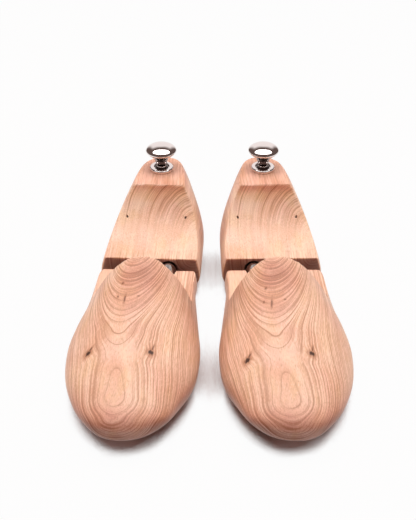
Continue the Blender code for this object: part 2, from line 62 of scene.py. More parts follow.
# The shape of the last, in metres. Section columns: place along the tree, medial and
# lateral reach, ridge, sole, widest level, top, and how full each side is above it
lastSettings = {
    "hump": 0.1275,
    "shelfEnd": 0.1653,
    "heelFace": 0.1718,
    "heelBack": 0.2715,
    "shelfHeight": 0.0284,
    "flatHeight": 0.0338,
    "plateauHeight": 0.0688,
    "scoopLength": 0.0476,
    "soleRound": 2.6,
    "quarter": 30,          # points in a quarter of a ring
    "ringsPerSpan": 10,
    "cornerSteps": 10,
    "sections": (
        (0.0, 0.0036, -0.0036, -0.0036, 0.0205, 0.0205, 0.0205, 1.0, 1.0),
        (0.0039525, 0.0163, 0.0102, -0.0050, 0.0163, 0.0205, 0.0260, 1.00, 1.00),
        (0.015045, 0.0269, 0.0217, -0.0045, 0.0118, 0.0200, 0.0320, 0.95, 0.95),
        (0.0320025, 0.0367, 0.0298, -0.0046, 0.0048, 0.0185, 0.0365, 0.85, 0.85),
        (0.0549525, 0.0447, 0.0385, -0.0045, 0.0014, 0.0175, 0.0410, 0.65, 0.75),
        (0.0819825, 0.0475, 0.0406, -0.0035, -0.0004, 0.0180, 0.0465, 0.40, 0.55),
        (0.10506, 0.0453, 0.0383, -0.0015, 0.0005, 0.0190, 0.0550, 0.20, 0.35),
        (0.1275, 0.0418, 0.0358, 0.0, 0.0020, 0.0190, 0.0663, 0.0, 0.15),
        (0.15018, 0.0395, 0.0338, 0.0, 0.0030, 0.0180, 0.0700, 0.30, 0.50),
        (0.1718, 0.0378, 0.0358, 0.0005, 0.0025, 0.0200, 0.0760, 0.38, 0.46),
        (0.1999154, 0.0355, 0.0363, 0.0018, 0.0008, 0.0220, 0.0810, 0.36, 0.40),
        (0.2249401, 0.0303, 0.0357, 0.0030, -0.0005, 0.0240, 0.0820, 0.64, 0.54),
        (0.2459768, 0.0258, 0.0301, 0.0035, 0.0, 0.0250, 0.0820, 0.67, 0.67),
        (0.2590375, 0.0205, 0.0255, 0.0040, 0.0025, 0.0260, 0.0760, 0.66, 0.70),
        (0.2680105, 0.0100, 0.0175, 0.0040, 0.0090, 0.0270, 0.0550, 0.90, 0.90),
        (0.2715, -0.0040, 0.0040, 0.0040, 0.0270, 0.0270, 0.0270, 1.0, 1.0),
    ),
}


def clearSelection():
    if bpy.context.object and bpy.context.object.mode != "OBJECT":
        bpy.ops.object.mode_set(mode="OBJECT")
    bpy.ops.object.select_all(action="DESELECT")


def workOn(piece):
    # makes one piece the only selected and active one
    clearSelection()
    piece.select_set(True)
    bpy.context.view_layer.objects.active = piece


def applyModifier(piece, kind, **settings):
    workOn(piece)
    modifier = piece.modifiers.new(kind.title(), kind)
    for key, value in settings.items():
        setattr(modifier, key, value)
    bpy.ops.object.modifier_apply(modifier=modifier.name)


def extrudeRings(name, rings):
    # a circle is set on the first ring and extruded on from ring to ring
    clearSelection()
    count = len(rings[0])
    bpy.ops.mesh.primitive_circle_add(vertices=count, radius=0.01, fill_type="NOTHING")
    piece = bpy.context.object
    piece.name = piece.data.name = name
    bpy.ops.object.mode_set(mode="EDIT")
    bpy.ops.mesh.select_mode(type="VERT")
    for n, ring in enumerate(rings):
        if n:
            bpy.ops.mesh.extrude_region_move()
        shape = bmesh.from_edit_mesh(piece.data)
        shape.verts.ensure_lookup_table()
        for vertex, spot in zip(shape.verts[n * count:], ring):
            vertex.co = spot
    # close both ends, unless the last ring comes back to the first
    endless = (Vector(rings[0][0]) - Vector(rings[-1][0])).length < 1e-7
    for low in () if endless else (0, (len(rings) - 1) * count):
        bpy.ops.mesh.select_all(action="DESELECT")
        shape = bmesh.from_edit_mesh(piece.data)
        shape.verts.ensure_lookup_table()
        for vertex in shape.verts[low:low + count]:
            vertex.select_set(True)
        shape.select_flush(True)
        if (shape.verts[low].co - shape.verts[low + count // 2].co).length > 1e-5:
            bpy.ops.mesh.edge_face_add()
    bpy.ops.mesh.select_all(action="SELECT")
    bpy.ops.mesh.remove_doubles(threshold=1e-6)
    bpy.ops.mesh.select_all(action="SELECT")
    bpy.ops.mesh.normals_make_consistent(inside=False)
    bpy.ops.object.mode_set(mode="OBJECT")
    return piece


def turnPiece(name, outline, steps, place):
    # a lathe: each point of the outline is radius and height on the piece's own axis
    rings = []
    for radius, height in outline:
        rings.append([place @ Vector((radius * math.cos(math.tau * n / steps),
                                      radius * math.sin(math.tau * n / steps), height))
                      for n in range(steps)])
    return extrudeRings(name, rings)


def cutAway(piece, cutter):
    applyModifier(piece, "BOOLEAN", operation="DIFFERENCE", solver="EXACT", object=cutter)
    bpy.data.objects.remove(cutter, do_unlink=True)


def softenEdges(piece, voxel, passes):
    # even faces all over, then the saw's sharp edges are sanded round
    applyModifier(piece, "REMESH", mode="VOXEL", voxel_size=voxel)
    applyModifier(piece, "SMOOTH", factor=0.5, iterations=passes)


def smoothFaces(piece, degrees):
    workOn(piece)
    bpy.ops.object.shade_smooth_by_angle(angle=math.radians(degrees))


def copyPiece(model, name, place):
    # a copy with its own mesh, and its place in that mesh
    piece = bpy.data.objects.new(name, model.data.copy())
    piece.data.name = name
    piece.data.transform(place)
    bpy.context.scene.collection.objects.link(piece)
    return piece


def treeMatrix(settings):
    return (Matrix.Translation(settings["place"])
            @ Matrix.Rotation(math.radians(settings["turn"]), 4, "Z"))


def softValue(a, b, c, d, t):
    # on a smooth line (Catmull-Rom), t of the way from b to c
    return 0.5 * (2 * b + (c - a) * t + (2 * a - 5 * b + 4 * c - d) * t**2
                  + (3 * b - a - 3 * c + d) * t**3)


def softOutline(points, parts):
    # an outline's points joined by a smooth line
    padded = [points[0], *points, points[-1]]
    line = []
    for i in range(len(points) - 1):
        columns = list(zip(*padded[i:i + 4]))
        for n in range(parts):
            line.append(tuple(softValue(*column, n / parts) for column in columns))
    return [*line, points[-1]]


def sectionAt(along):
    # the last's section at a place counted in sections from the toe
    rows = lastSettings["sections"]
    first, last = rows[0], rows[-1]
    before = (rows[1][0], *(2 * a - b for a, b in zip(first[1:], rows[1][1:])))
    after = (rows[-2][0], *(2 * a - b for a, b in zip(last[1:], rows[-2][1:])))
    rows = (before, *rows, after)
    i = min(int(along), len(rows) - 4)
    return [softValue(*column, along - i) for column in zip(*rows[i:i + 4])]


def alongAt(place):
    # the same count for a place in metres, found by halving
    low, high = 0.0, float(len(lastSettings["sections"]) - 1)
    for _ in range(40):
        middle = (low + high) / 2
        if sectionAt(middle)[0] < place:
            low = middle
        else:
            high = middle
    return low


def lastRing(section, settings, corner=0.0):
    # one outline of the last, from the ridge down the outer side and round
    place, medial, lateral, ridge, sole, widest, top, fullMedial, fullLateral = section
    sole = min(sole, widest)
    outer = max(lateral - ridge - corner, 0.0)
    inner = max(medial + ridge - corner, 0.0)
    power = 2 / lastSettings["soleRound"]
    quarter = lastSettings["quarter"]
    spin = treeMatrix(settings)
    ring = []
    for step in range(4 * quarter):
        turn = step / quarter * math.pi / 2
        across, up = math.sin(turn), math.cos(turn)
        full = fullLateral if across > 0 else fullMedial
        if up > 0:
            z = widest + (top - widest) * up * (full + (1 - full) * up)
        else:
            z = widest - (widest - sole) * abs(up) ** power
            across = math.copysign(abs(across) ** power, across)
        x = ridge + across * (outer if across > 0 else inner)
        ring.append(spin @ Vector((settings["hand"] * x, place, z)))
    return ring


def cornerRings(settings, sawn, way, corner):
    # a sawn end's upright corners, rounded over their length and depth
    length, depth = corner
    steps = lastSettings["cornerSteps"]
    rings = []
    for n in range(steps + 1):
        share = (n / steps) ** 2
        section = sectionAt(alongAt(sawn + way * share * length))
        rings.append(lastRing(section, settings, depth * (1 - math.sqrt(1 - (1 - share) ** 2))))
    return rings


def lastRings(settings, start, end, startCorner=None, endCorner=None):
    # all outlines of the last between two saw faces
    rings = cornerRings(settings, start, 1, startCorner) if startCorner else []
    low = start + 1.05 * startCorner[0] if startCorner else start
    high = end - 1.05 * endCorner[0] if endCorner else end
    count = (len(lastSettings["sections"]) - 1) * lastSettings["ringsPerSpan"]
    for n in range(count + 1):
        section = sectionAt(n / lastSettings["ringsPerSpan"])
        if low <= section[0] <= high:
            rings.append(lastRing(section, settings))
    if endCorner:
        rings += cornerRings(settings, end, -1, endCorner)[::-1]
    return rings


alongTree = Matrix.Rotation(-math.pi / 2, 4, "X")      # a turned piece's axis laid along the tree

tubeSettings = {
    "radius": 0.006, "wall": 0.0008, "edge": 0.0002, "lip": 0.001, "rodHole": 0.0028, "steps": 72,
    "apart": 0.0248, "height": 0.0246, "front": 0.1055, "back": 0.212, "smoothAngle": 40,
}
# "seat" holds the guide rod, "flare" opens the bore at the shelf, "mouth" at the heel's face
boreSettings = {
    "radius": 0.0063, "bottom": 0.0983, "seatRadius": 0.0028, "seatDepth": 0.018,
    "flare": 0.0078, "flareLength": 0.0065, "mouth": 0.0072, "mouthDepth": 0.003,
    "endGap": 0.0003, "past": 0.002, "steps": 64,
    "darkFrom": 0.075, "darkTo": 0.22,      # where bore walls with painted shade are looked for
}
woodSettings = {
    "voxel": 0.0008, "toePasses": 5, "heelPasses": 3, "smoothAngle": 35,
    "shelfCorner": (0.009, 0.0032), "heelCorner": (0.003, 0.0012),
    # how far the saw cuts and the hollow's cutter reach past the wood
    "cutSide": 0.07, "cutStart": -0.02, "cutEnd": 0.3, "cutTop": 0.12, "cutBottom": -0.02,
    "hollowSteps": 256,
}


def sawOff(piece, settings, start, bottom, top):
    # takes away all wood behind a place along the tree, between two heights
    wood = woodSettings
    low = Vector((-wood["cutSide"], start, bottom))
    high = Vector((wood["cutSide"], wood["cutEnd"], top))
    clearSelection()
    bpy.ops.mesh.primitive_cube_add(size=1.0)
    cutter = bpy.context.object
    for vertex in cutter.data.vertices:
        shift = Vector(a * b for a, b in zip(vertex.co, high - low))
        vertex.co = treeMatrix(settings) @ ((low + high) / 2 + shift)
    cutAway(piece, cutter)


def tubePlaces(settings):
    half = tubeSettings["apart"] / 2
    return (("medial", -settings["hand"] * half), ("lateral", settings["hand"] * half))


def makeForepart(label, settings):
    last, wood, bore = lastSettings, woodSettings, boreSettings
    rings = lastRings(settings, 0.0, last["shelfEnd"], endCorner=wood["shelfCorner"])
    piece = extrudeRings(f"{label}_forepart_wood", rings)
    sawOff(piece, settings, last["hump"], last["shelfHeight"], wood["cutTop"])
    sawOff(piece, settings, wood["cutStart"], wood["cutBottom"], 0.0)
    softenEdges(piece, wood["voxel"], wood["toePasses"])
    start = bore["bottom"] - bore["seatDepth"]
    deep = last["shelfEnd"] - start
    outline = [(0.0, 0.0), (bore["seatRadius"], 0.0), (bore["seatRadius"], bore["seatDepth"]),
               (bore["radius"], bore["seatDepth"]), (bore["radius"], deep - bore["flareLength"]),
               (bore["flare"], deep + tubeSettings["edge"]), (bore["flare"], deep + bore["past"]),
               (0.0, deep + bore["past"])]
    for word, x in tubePlaces(settings):
        spot = treeMatrix(settings) @ Matrix.Translation((x, start, tubeSettings["height"]))
        cutAway(piece, turnPiece("bore", outline, bore["steps"], spot @ alongTree))
    smoothFaces(piece, wood["smoothAngle"])
    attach(piece, f"{label}_forepart_body")
    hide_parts(f"{label}_forepart")
    return piece


bradSettings = {
    "radius": 0.00075, "gap": 0.00006, "steps": 24,
    "apart": 0.0442, "offset": 0.0012, "behindFace": 0.0349, "below": 0.001,
}
# "cap" and "under" are the turned outline above and below the rim: radius, height
knobSettings = {
    "offset": 0.0026, "place": 0.2436, "base": 0.0703, "steps": 128, "smoothAngle": 40,
    "cap": ((0.0, 0.0198), (0.004012, 0.0195), (0.007434, 0.0186), (0.01003, 0.01715),
            (0.011446, 0.0157), (0.0118, 0.0148)),
    "under": ((0.011682, 0.0142), (0.011092, 0.0134), (0.009676, 0.0122), (0.00767, 0.0105),
              (0.005428, 0.0076), (0.004248, 0.0048), (0.0036, 0.0026), (0.0038, 0.0015),
              (0.0047, 0.001), (0.0051, 0.0008)),
    "foot": 0.0051, "hole": 0.0025, "holeDepth": 0.0093,
    "darkBelow": 0.0017,        # the foot that the rosette's rim keeps in the dark, painted dark as shade
    "studFrom": 0.0465, "studTo": 0.08, "studSteps": 32,
}
rosetteSettings = {
    "base": 0.0691, "steps": 128, "hole": 0.0025,
    "rim": ((0.009, 0.0), (0.009, 0.0013), (0.0087, 0.002), (0.008, 0.0023), (0.0062, 0.0022),
            (0.0056, 0.0016), (0.0054, 0.0009)),
}


def hollowRadius():
    # of the arc that climbs from the heel block's flat to its plateau
    run = lastSettings["scoopLength"]
    rise = lastSettings["plateauHeight"] - lastSettings["flatHeight"]
    return (run**2 + rise**2) / (2 * rise)


def hollowHeight(place):
    radius = hollowRadius()
    behind = place - lastSettings["heelFace"]
    return lastSettings["flatHeight"] + radius - math.sqrt(radius**2 - behind**2)


def bradLines(settings):
    # each brad leans from the hollow down to the wall of its tube: head and tip
    brad, tube = bradSettings, tubeSettings
    place = lastSettings["heelFace"] + brad["behindFace"]
    lines = []
    for side in (-1, 1):
        x = settings["hand"] * (brad["offset"] + side * brad["apart"] / 2)
        head = Vector((x, place, hollowHeight(place)))
        axis = Vector((settings["hand"] * side * tube["apart"] / 2, place, tube["height"]))
        reach = (axis - head).length - tube["radius"] - brad["gap"]
        lines.append((head, head + (axis - head).normalized() * reach))
    return lines


def makeHeelBlock(label, settings):
    last, wood, bore = lastSettings, woodSettings, boreSettings
    place = treeMatrix(settings)
    rings = lastRings(settings, last["heelFace"], last["heelBack"], startCorner=wood["heelCorner"])
    piece = extrudeRings(f"{label}_heel_block_wood", rings)

    # the hollow is cut by one big round cutter lying across the block
    radius, side = hollowRadius(), wood["cutSide"]
    middle = Matrix.Translation((-side, last["heelFace"], last["flatHeight"] + radius))
    outline = [(0.0, 0.0), (radius, 0.0), (radius, 2 * side), (0.0, 2 * side)]
    lying = place @ middle @ Matrix.Rotation(math.pi / 2, 4, "Y")
    cutAway(piece, turnPiece("hollow", outline, wood["hollowSteps"], lying))
    sawOff(piece, settings, wood["cutStart"], last["plateauHeight"], wood["cutTop"])
    sawOff(piece, settings, wood["cutStart"], wood["cutBottom"], 0.0)
    softenEdges(piece, wood["voxel"], wood["heelPasses"])

    start = last["heelFace"] - bore["past"]
    deep = tubeSettings["back"] + bore["endGap"] - start
    mouthEnd = bore["past"] + bore["mouthDepth"]
    outline = [(0.0, deep), (bore["radius"], deep), (bore["radius"], mouthEnd),
               (bore["mouth"], mouthEnd), (bore["mouth"], 0.0), (0.0, 0.0)]
    for word, x in tubePlaces(settings):
        spot = place @ Matrix.Translation((x, start, tubeSettings["height"]))
        cutAway(piece, turnPiece("bore", outline, bore["steps"], spot @ alongTree))

    brad = bradSettings
    for head, tip in bradLines(settings):
        lean = (head - tip).to_track_quat("Z", "Y").to_matrix().to_4x4()
        wide, long = brad["radius"] + brad["gap"], (head - tip).length + bore["past"]
        outline = [(0.0, -brad["below"]), (wide, -brad["below"]), (wide, long), (0.0, long)]
        spot = place @ Matrix.Translation(tip) @ lean
        cutAway(piece, turnPiece("brad_hole", outline, brad["steps"], spot))

    knob = knobSettings
    spot = place @ Matrix.Translation((settings["hand"] * knob["offset"], knob["place"], 0.0))
    outline = [(0.0, knob["studFrom"]), (knob["hole"], knob["studFrom"]),
               (knob["hole"], knob["studTo"]), (0.0, knob["studTo"])]
    cutAway(piece, turnPiece("stud_hole", outline, knob["studSteps"], spot))
    smoothFaces(piece, wood["smoothAngle"])
    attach(piece, f"{label}_heel_body")
    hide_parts(f"{label}_heel_block")
    return piece


# Each metal piece is made once, and copied to both trees
def makeKnob():
    knob = knobSettings
    outline = [*softOutline(knob["cap"], 5), *softOutline(knob["under"], 5), (knob["foot"], 0.0),
               (knob["hole"], 0.0), (knob["hole"], knob["holeDepth"]), (0.0, knob["holeDepth"])]
    piece = turnPiece("knob", outline, knob["steps"], Matrix.Identity(4))
    smoothFaces(piece, knob["smoothAngle"])
    return piece


def makeRosette():
    rosette = rosetteSettings
    rim = softOutline(rosette["rim"], 5)
    outline = [*rim, (rosette["hole"], rim[-1][1]), (rosette["hole"], 0.0), rim[0]]
    piece = turnPiece("rosette", outline, rosette["steps"], Matrix.Identity(4))
    smoothFaces(piece, knobSettings["smoothAngle"])
    return piece


def makeTube():
    # its lip, at the front, is stopped by the guide rod's head
    tube = tubeSettings
    radius, edge, lip = tube["radius"], tube["edge"], tube["lip"]
    inside, long = radius - tube["wall"], tube["back"] - tube["front"]
    outline = [(radius, long - edge), (radius, 3 * edge), (radius - edge, edge),
               (radius - 3 * edge, 0.0), (tube["rodHole"], 0.0), (tube["rodHole"], lip),
               (inside, lip), (inside, long), (radius - edge, long), (radius, long - edge)]
    piece = turnPiece("tube", outline, tube["steps"], alongTree)
    smoothFaces(piece, tube["smoothAngle"])
    return piece


springSettings = {
    "front": 0.1101, "back": 0.1657, "radius": 0.00435, "wire": 0.00055, "turns": 10,
    "endPitch": 0.00145, "steps": 24, "wireSteps": 10, "travel": 0.0062, "smoothAngle": 50,
}


def makeSpring():
    # a compression spring with one close coil at each end
    spring = springSettings
    turns, wire, endPitch = spring["turns"], spring["wire"], spring["endPitch"]
    openRise = spring["back"] - spring["front"] - 2 * wire - 2 * endPitch
    openPitch = openRise / (turns - 2)
    rings = []
    for n in range(turns * spring["steps"] + 1):
        coil = n / spring["steps"]
        rise = wire + min(coil, 1.0) * endPitch
        rise += max(0.0, min(coil, turns - 1.0) - 1.0) * openPitch
        rise += max(0.0, coil - turns + 1.0) * endPitch
        out = Vector((math.cos(math.tau * coil), math.sin(math.tau * coil), 0.0))
        ring = []
        for k in range(spring["wireSteps"]):
            turn = math.tau * k / spring["wireSteps"]
            height = Vector((0.0, 0.0, rise + wire * math.sin(turn)))
            ring.append(alongTree @ (out * (spring["radius"] + wire * math.cos(turn)) + height))
        rings.append(ring)
    piece = extrudeRings("spring", rings)
    smoothFaces(piece, spring["smoothAngle"])
    return piece


def setKnob(label, settings, model):
    knob = knobSettings
    spot = Matrix.Translation((settings["hand"] * knob["offset"], knob["place"], knob["base"]))
    piece = copyPiece(model, f"{label}_knob_turned", treeMatrix(settings) @ spot)
    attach(piece, f"{label}_heel_body")
    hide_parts(f"{label}_knob")
    return piece


def setRosette(label, settings, model):
    knob, base = knobSettings, rosetteSettings["base"]
    spot = Matrix.Translation((settings["hand"] * knob["offset"], knob["place"], base))
    piece = copyPiece(model, f"{label}_rosette_turned", treeMatrix(settings) @ spot)
    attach(piece, f"{label}_heel_body")
    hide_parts(f"{label}_knob_rosette")
    return piece


def setTubes(label, settings, model):
    made = []
    for word, x in tubePlaces(settings):
        spot = Matrix.Translation((x, tubeSettings["front"], tubeSettings["height"]))
        piece = copyPiece(model, f"{label}_{word}_tube_drawn", treeMatrix(settings) @ spot)
        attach(piece, f"{label}_heel_body")
        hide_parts(f"{label}_{word}_tube")
        made.append(piece)
    return made


def setSprings(label, settings, model):
    # each is set in place in the forepart, with a mesh of its own
    spring = springSettings
    made = []
    for word, x in tubePlaces(settings):
        spot = Matrix.Translation((x, spring["front"], tubeSettings["height"]))
        start = treeMatrix(settings) @ spot
        piece = copyPiece(model, f"{label}_{word}_spring_wound", start)
        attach(piece, f"{label}_forepart_body")
        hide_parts(f"{label}_{word}_spring")
        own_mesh(piece)
        made.append(piece)
    return made


def putNode(tree, kind, values=None, **settings):
    # one shader node: a value that is a socket is linked, any other is typed in
    node = tree.nodes.new(kind)
    for key, value in settings.items():
        setattr(node, key, value)
    for key, value in (values or {}).items():
        if isinstance(value, bpy.types.NodeSocket):
            tree.links.new(value, node.inputs[key])
        else:
            node.inputs[key].default_value = value
    return node


def putMath(tree, operation, a, b=0.0):
    return putNode(tree, "ShaderNodeMath", {0: a, 1: b}, operation=operation).outputs[0]


def putRange(tree, value, fromLow, fromHigh, toLow=0.0, toHigh=1.0, smooth=True):
    kind = "SMOOTHSTEP" if smooth else "LINEAR"
    values = {"Value": value, "From Min": fromLow, "From Max": fromHigh,
              "To Min": toLow, "To Max": toHigh}
    return putNode(tree, "ShaderNodeMapRange", values, interpolation_type=kind).outputs["Result"]


def putNoise(tree, vector, scale, detail=2.0, roughness=0.5):
    values = {"Vector": vector, "Scale": scale, "Detail": detail, "Roughness": roughness}
    return putNode(tree, "ShaderNodeTexNoise", values)


def putStretch(tree, vector, x, y, z):
    values = {0: vector, 1: (x, y, z)}
    return putNode(tree, "ShaderNodeVectorMath", values, operation="MULTIPLY").outputs[0]


def putMix(tree, share, a, b, blend="MIX"):
    node = tree.nodes.new("ShaderNodeMix")
    node.data_type = "RGBA"
    node.blend_type = blend
    for socket, value in ((node.inputs[0], share), (node.inputs[6], a), (node.inputs[7], b)):
        if isinstance(value, bpy.types.NodeSocket):
            tree.links.new(value, socket)
        else:
            socket.default_value = value
    return node.outputs[2]


def putLength(tree, vector):
    values = {0: vector}
    return putNode(tree, "ShaderNodeVectorMath", values, operation="LENGTH").outputs["Value"]


def putBump(tree, shader, height, strength, distance):
    values = {"Height": height, "Strength": strength, "Distance": distance}
    bump = putNode(tree, "ShaderNodeBump", values)
    tree.links.new(bump.outputs[0], shader.inputs["Normal"])


def newMaterial(name):
    made = bpy.data.materials.new(name)
    made.use_nodes = True
    return made, made.node_tree, made.node_tree.nodes["Principled BSDF"]


def putRamp(tree, value, stops):
    # a colour ramp: each stop is its place, then its colour
    node = putNode(tree, "ShaderNodeValToRGB", {"Fac": value})
    elements = node.color_ramp.elements
    for end in (0, -1):
        elements[end].position = stops[end][0]
        elements[end].color = (*stops[end][1:], 1)
    for place, *shade in stops[1:-1]:
        elements.new(place).color = (*shade, 1)
    return node.outputs[0]


woodFinish = {
    "pale": (0.945, 0.615, 0.445, 1.0),
    "warm": (0.83, 0.45, 0.30, 1.0),
    "streak": (0.57, 0.29, 0.18, 1.0),
    "honey": (0.86, 0.52, 0.29, 1.0),
    "rose": (0.90, 0.53, 0.42, 1.0),
    "light": (1.0, 0.71, 0.53, 1.0),
    "line": (0.40, 0.125, 0.05, 1.0),
    "knot": (0.07, 0.028, 0.018, 1.0),
    "roughness": 0.42,
    "specular": 0.28,
    "bump": (0.12, 0.0002),     # strength and depth of the fibres
}

# How fine each noise in the wood is, to a mm across, along and up the tree
noiseSettings = {
    "wander": (0.055, 0.03, 0.055),     # of the growth layers
    "ragged": (0.9, 0.55, 0.9),         # edges of the knots
    "fibre": (1.9, 0.07, 1.9),
    "patch": (0.05, 0.03, 0.05),
    "cast": (0.09, 0.035, 0.09),
    "streak": (0.03, 0.012),
}

# From and to value of what decides, and the share at each
shareSettings = {
    "warm": (0.36, 0.64, 0.0, 0.9),
    "honey": (0.5, 0.68, 0.0, 0.55),
    "rose": (0.48, 0.34, 0.0, 0.4),
    "darkStreak": (0.44, 0.62, 0.0, 0.85),
    "lightStreak": (0.49, 0.36, 0.0, 0.8),
    "darkFibre": (0.48, 0.7, 0.0, 0.6),
    "lightFibre": (0.46, 0.3, 0.0, 0.6),
    "lineStrength": (0.35, 0.65, 0.35, 1.0),
    "yearStrength": (0.0, 1.0, 0.45, 1.0),
    "lineWidth": (0.08, 0.9, 0.15, 0.52),       # by how steeply the cut meets the layers
    "soaked": (0.5, 0.66, 0.0, 0.55),
    "crossed": (0.42, 0.62),
    "bold": (0.12, 0.5),            # where streaks gain strength, by how steeply the cut runs
    "sloping": (0.2, 0.42),         # where faces count as sloping to the fibres
    "ends": (0.55, 0.7),            # and as end grain
    "bare": (0.45, 1.0),            # from the middle of a plain patch to its edge
}

# Reach of a knot's parts, in sizes of the knot: from where they start to where they are full
knotSettings = {
    "core": (1.8, 0.7), "rim": (4.0, 1.2, 0.0, 0.6), "ragged": 1.8,
    "raised": (7.0, 1.1),           # reach and height of the layers round a large knot
    "large": 0.9, "darkest": (0.45, 0.5),
}
lineShape = ((0.0, 0.0), (0.14, 0.5), (0.28, 1.0), (0.5, 0.55), (0.75, 0.16), (1.0, 0.0))

# The growth layers of the two boards, in mm from the tree's toe and the floor
boardSettings = {
    "forepart": {
        # place along the tree, and height of one layer there
        "heart": ((-20, -4.7), (0, -3.9), (11.5, -0.9), (16.5, -0.1), (31, 3.55), (44, 6.55),
                  (52, 8.5), (61, 9.8), (70, 10.3), (81, 11.3), (100, 11.5), (260, 11.5)),
        "depth": -130.0,        # how far the pith lies under the layers, here above them
        "aside": -10.5,         # and how far to the side
        "tilt": (20.0, 92.0, 0.045, 0.19),      # from and to place, sideways tilt at each
        "slope": (45.0, 76.0, 0.24, 0.03),      # from and to place, climb along the tree at each
        "spacing": 1.22, "phase": 0.52, "wobble": 0.14, "seed": 3.0,
        "grain": 1.7, "streaks": 1.0,           # streaks to a mm of layer, and their strength
        "contrast": (0.88, 0.6, 1.0),   # lines on faces along, sloping to and across the fibres
        # place across and along, size, how long and which way it leans
        "knots": ((-31.1, 59.2, 1.1, 1.4, 66), (-29.7, 62.0, 0.45, 3.0, 62),
                  (9.2, 58.0, 1.15, 1.2, 110), (10.2, 62.0, 0.3, 5.0, 78),
                  (-15.3, 109.6, 0.42, 1.0, 0), (-17.4, 100.4, 0.32, 1.4, 100),
                  (-12.4, 97.8, 0.34, 4.5, 84), (-3.6, 99.5, 0.26, 1.5, 20)),
        "plain": (-6.0, 54.0, 14.0, 9.0, 0.15),     # place and reach of a patch, figure left there
        "fibreRise": 0.08,
        # tint by how squarely the cut crosses the fibres: end grain darkening, and painted shade on
        # faces turned along the tree, away from the light
        "endGrainAndShade": ((0.1, 1.0, 0.95, 0.94), (0.22, 0.96, 0.87, 0.85), (0.3, 0.9, 0.74, 0.71),
                     (0.39, 0.82, 0.62, 0.585), (0.53, 0.55, 0.37, 0.345), (0.69, 0.5, 0.43, 0.46),
                     (0.92, 0.72, 0.63, 0.7), (1.0, 0.84, 0.73, 0.8)),
    },
    "heel": {
        "heart": ((-20, 34), (170, 34), (190, 37.5), (205, 39), (220, 40), (300, 43)),
        "depth": 0.0, "aside": 26.0, "tilt": (0.0, 1.0, 0.0, 0.0),
        "slope": (185.0, 195.0, 0.18, 0.06),
        "spacing": 2.1, "phase": 0.2, "wobble": 0.9, "seed": 0.0,
        "grain": 0.8, "streaks": 0.5, "contrast": (0.45, 0.5, 0.75),
        "knots": (), "plain": (-8.0, 192.0, 60.0, 19.0, 0.2), "fibreRise": 0.35,
        # end grain darkening and painted shade, darkest on the block's front face in the gap
        "endGrainAndShade": ((0.6, 1.0, 1.0, 1.0), (0.7, 1.0, 0.9, 0.8), (0.8, 0.93, 0.7, 0.61),
                     (0.9, 0.52, 0.41, 0.41), (1.0, 0.42, 0.35, 0.37)),
        # painted shade on the block's top and back: from and to place along, from and to height,
        # and the darker tint painted above and behind them
        "shade": (217.0, 221.0, 60.0, 67.0, (0.91, 0.77, 0.75, 1.0)),
    },
}


def putHeart(tree, board, along):
    # the height of one layer over the length of the board, as a drawn curve
    rows = board["heart"]
    first, last = rows[0][0], rows[-1][0]
    low, high = min(row[1] for row in rows), max(row[1] for row in rows)
    share = putRange(tree, along, first, last, smooth=False)
    curve = putNode(tree, "ShaderNodeFloatCurve", {"Value": share})
    points = curve.mapping.curves[0].points
    points[0].location = (0.0, (rows[0][1] - low) / (high - low))
    points[-1].location = (1.0, (rows[-1][1] - low) / (high - low))
    for place, height in rows[1:-1]:
        points.new((place - first) / (last - first), (height - low) / (high - low))
    curve.mapping.update()
    low, high = low - board["depth"], high - board["depth"]
    return putRange(tree, curve.outputs[0], 0.0, 1.0, low, high, smooth=False)


def putLayers(tree, settings, board, spot):
    # which growth layer passes through a point, and which way the layers face there
    across, along, up = putNode(tree, "ShaderNodeSeparateXYZ", {0: spot}).outputs
    side = putMath(tree, "SUBTRACT", across, board["aside"])
    rise = putMath(tree, "SUBTRACT", up, putHeart(tree, board, along))
    tilt = putRange(tree, along, *board["tilt"])
    rise = putMath(tree, "SUBTRACT", rise, putMath(tree, "MULTIPLY", side, tilt))
    squares = putMath(tree, "ADD", putMath(tree, "MULTIPLY", side, side),
                      putMath(tree, "MULTIPLY", rise, rise))
    layer = putMath(tree, "MULTIPLY", putMath(tree, "SQRT", squares),
                    math.copysign(1.0, board["depth"]))
    layer = putMath(tree, "SUBTRACT", layer, board["depth"])
    wander = putNoise(tree, putStretch(tree, spot, *noiseSettings["wander"]), 1.0, 2.0)
    wander = putMath(tree, "SUBTRACT", wander.outputs["Fac"], 0.5)
    layer = putMath(tree, "ADD", layer, putMath(tree, "MULTIPLY", wander, 2 * board["wobble"]))
    layer = putMath(tree, "ADD", layer, settings["figureLift"])

    slope = putRange(tree, along, *board["slope"])
    way = putNode(tree, "ShaderNodeCombineXYZ", {
        0: putMath(tree, "SUBTRACT", side, putMath(tree, "MULTIPLY", tilt, rise)),
        1: putMath(tree, "MULTIPLY", slope, putMath(tree, "MULTIPLY", rise, -1.0)),
        2: rise}).outputs[0]
    way = putNode(tree, "ShaderNodeVectorMath", {0: way}, operation="NORMALIZE").outputs[0]
    return layer, way


